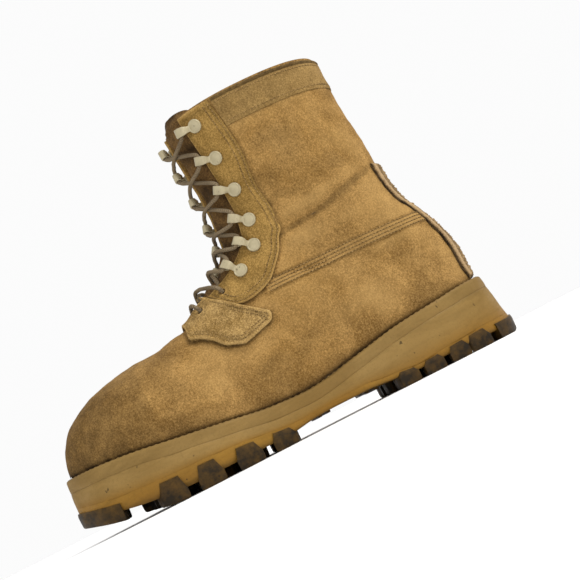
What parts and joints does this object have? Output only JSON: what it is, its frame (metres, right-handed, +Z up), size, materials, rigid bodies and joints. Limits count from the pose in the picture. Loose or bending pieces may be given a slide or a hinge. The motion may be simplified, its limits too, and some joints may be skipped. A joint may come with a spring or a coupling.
{
  "type": "combat boot",
  "caption": "Right lace-up suede combat boot with a hollow upper, tongue, metal lace hooks, welted midsole and a lugged gum rubber outsole.",
  "frame": {"origin": "on the floor, under the middle of the boot's bounding box", "axes": "+Z up from the tread, -Y towards the toe, +X towards the medial (inner) side of this right boot"},
  "size_m": [0.108, 0.3208, 0.2407],
  "materials": {
    "suede": "rough coyote suede",
    "facing_suede": "rough suede, a little yellower",
    "tongue_suede": "rough brown suede",
    "collar_suede": "darker olive suede band",
    "backstay_webbing": "worn grey-brown strip",
    "lining": "matt cloth",
    "midsole_rubber": "tan, satin",
    "gum_rubber": "amber gum rubber, dusty tread",
    "hook_enamel": "matt khaki enamel",
    "lace_cord": "braided cord"
  },
  "bodies": {
    "root": {"outsole": "gum_rubber", "midsole": "midsole_rubber", "welt": "midsole_rubber", "insole": "lining", "upper": "suede", "tongue": "tongue_suede", "eyestay_medial": "facing_suede", "eyestay_lateral": "facing_suede", "tab_medial": "facing_suede", "tab_lateral": "facing_suede", "hook_medial_1": "hook_enamel", "hook_medial_2": "hook_enamel", "hook_medial_3": "hook_enamel", "hook_medial_4": "hook_enamel", "hook_medial_5": "hook_enamel", "hook_medial_6": "hook_enamel", "hook_lateral_1": "hook_enamel", "hook_lateral_2": "hook_enamel", "hook_lateral_3": "hook_enamel", "hook_lateral_4": "hook_enamel", "hook_lateral_5": "hook_enamel", "hook_lateral_6": "hook_enamel", "collar_band": "collar_suede", "backstay": "backstay_webbing", "lace": "lace_cord"}
  },
  "joints": []
}
